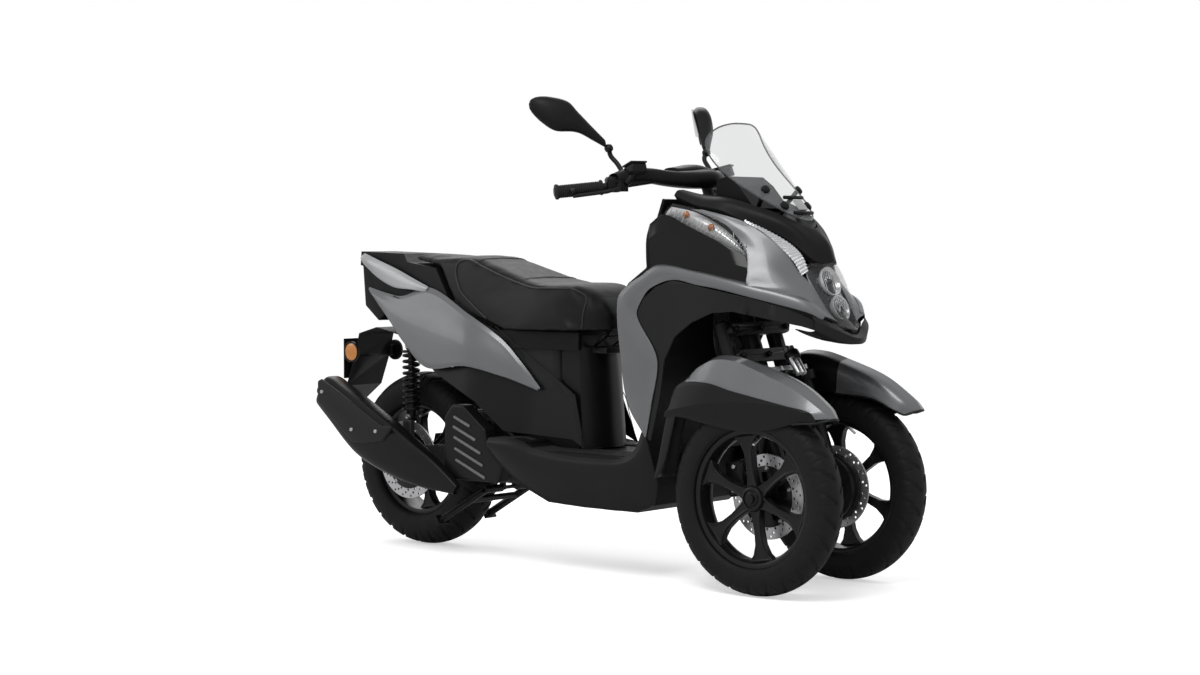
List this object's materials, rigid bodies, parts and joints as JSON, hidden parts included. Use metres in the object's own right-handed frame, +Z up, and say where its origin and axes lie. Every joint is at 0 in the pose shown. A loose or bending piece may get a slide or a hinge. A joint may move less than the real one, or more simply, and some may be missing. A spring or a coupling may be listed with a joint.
{
  "type": "reverse trike scooter",
  "caption": "Tilting scooter with two steered front wheels, one rear wheel, step-through floor, opening seat over a storage tub, clear screen and folding stands.",
  "frame": {"origin": "ground level, midway along the length and width, under the middle of the bounding box", "axes": "+X forward, +Y to the rider's left, +Z up"},
  "size_m": [1.9799, 0.7508, 1.2729],
  "materials": {
    "silver_paint": "satin metallic grey paint",
    "rail_silver": "bright silver paint",
    "matte_black": "moulded matte black plastic",
    "dark_grey": "dark grey moulded plastic",
    "gloss_black": "gloss black plastic",
    "clear_lens": "clear lens",
    "red_lens": "red lens",
    "screen_clear": "clear screen",
    "tyre_rubber": "tyre rubber",
    "wheel_black": "satin black cast wheel",
    "frame_black": "black painted steel",
    "engine_metal": "grey cast case",
    "grip_rubber": "black rubber",
    "seat_vinyl": "black vinyl with piping",
    "spring_black": "black coated spring"
  },
  "bodies": {
    "root": {"engine_unit": "engine_metal", "floorboard": "matte_black", "front_beak": "matte_black", "grab_rail": "rail_silver", "headlight": "clear_lens", "left_arch_liner": "dark_grey", "left_cheek_panel": "gloss_black", "left_front_cowl": "silver_paint", "left_link_tube": "frame_black", "left_rear_shock": "spring_black", "left_side_panel": "matte_black", "left_tail_panel": "silver_paint", "left_turn_signal": "clear_lens", "leg_shield": "matte_black", "lower_arm": "frame_black", "main_frame": "frame_black", "meter_housing": "matte_black", "muffler": "matte_black", "nose_cover": "dark_grey", "radiator_cover": "matte_black", "rear_mudguard": "matte_black", "right_arch_liner": "dark_grey", "right_cheek_panel": "gloss_black", "right_front_cowl": "silver_paint", "right_link_tube": "frame_black", "right_rear_shock": "spring_black", "right_side_panel": "matte_black", "right_tail_panel": "silver_paint", "right_turn_signal": "clear_lens", "storage_tub": "matte_black", "tail_cover": "matte_black", "tail_light": "red_lens", "under_seat_cover": "matte_black", "upper_arm": "frame_black", "windscreen": "screen_clear"},
    "left_knuckle": {"left_fork": "frame_black", "left_fender": "silver_paint"},
    "right_knuckle": {"right_fork": "frame_black", "right_fender": "silver_paint"},
    "left_front_wheel": {"front_left_tyre": "tyre_rubber", "front_left_rim": "wheel_black"},
    "right_front_wheel": {"front_right_tyre": "tyre_rubber", "front_right_rim": "wheel_black"},
    "rear_wheel": {"rear_tyre": "tyre_rubber", "rear_rim": "wheel_black"},
    "steering": {"handlebar": "frame_black", "handlebar_cover": "matte_black", "left_grip": "grip_rubber", "right_grip": "grip_rubber", "left_mirror": "matte_black", "right_mirror": "matte_black"},
    "tie_rod": {"tie_rod": "frame_black"},
    "seat": {"seat": "seat_vinyl"},
    "centre_stand": {"centre_stand": "frame_black"},
    "side_stand": {"side_stand": "frame_black"}
  },
  "joints": [
    {"name": "steering", "type": "hinge", "parent": "root", "child": "steering", "pos_m": [0.5631, 0, 0.67286], "axis": [-0.342, 0, 0.9397], "range_deg": [-30, 30]},
    {"name": "left_knuckle_steer", "type": "hinge", "parent": "root", "child": "left_knuckle", "pos_m": [0.5802, 0.11, 0.62588], "axis": [-0.342, 0, 0.9397], "range_deg": [-30, 30]},
    {"name": "right_knuckle_steer", "type": "hinge", "parent": "root", "child": "right_knuckle", "pos_m": [0.5802, -0.11, 0.62588], "axis": [-0.342, 0, 0.9397], "range_deg": [-30, 30]},
    {"name": "tie_rod_pin", "type": "hinge", "parent": "steering", "child": "tie_rod", "pos_m": [0.66787, 0, 0.56627], "axis": [-0.342, 0, 0.9397], "range_deg": [-30, 30]},
    {"name": "left_front_wheel", "type": "hinge", "parent": "left_knuckle", "child": "left_front_wheel", "pos_m": [0.74, 0.1925, 0.25], "axis": [0, 1, 0], "continuous": true},
    {"name": "right_front_wheel", "type": "hinge", "parent": "right_knuckle", "child": "right_front_wheel", "pos_m": [0.74, -0.1925, 0.25], "axis": [0, 1, 0], "continuous": true},
    {"name": "rear_wheel", "type": "hinge", "parent": "root", "child": "rear_wheel", "pos_m": [-0.61, 0, 0.256], "axis": [0, 1, 0], "continuous": true},
    {"name": "seat_hinge", "type": "hinge", "parent": "root", "child": "seat", "pos_m": [0.118, 0, 0.636], "axis": [0, 1, 0], "range_deg": [0, 70]},
    {"name": "centre_stand", "type": "hinge", "parent": "root", "child": "centre_stand", "pos_m": [-0.29, 0, 0.19], "axis": [0, -1, 0], "range_deg": [0, 80], "stiffness_Nm_per_rad": 4, "springref_deg": -57.3},
    {"name": "side_stand", "type": "hinge", "parent": "root", "child": "side_stand", "pos_m": [-0.07, 0.172, 0.194], "axis": [0.0511, -0.8582, -0.5108], "range_deg": [0, 102.6], "stiffness_Nm_per_rad": 2, "springref_deg": -57.3}
  ],
  "couplings": [
    {"joint": "left_knuckle_steer", "follows": "steering", "ratio": 1},
    {"joint": "right_knuckle_steer", "follows": "steering", "ratio": 1},
    {"joint": "tie_rod_pin", "follows": "steering", "ratio": -1}
  ]
}
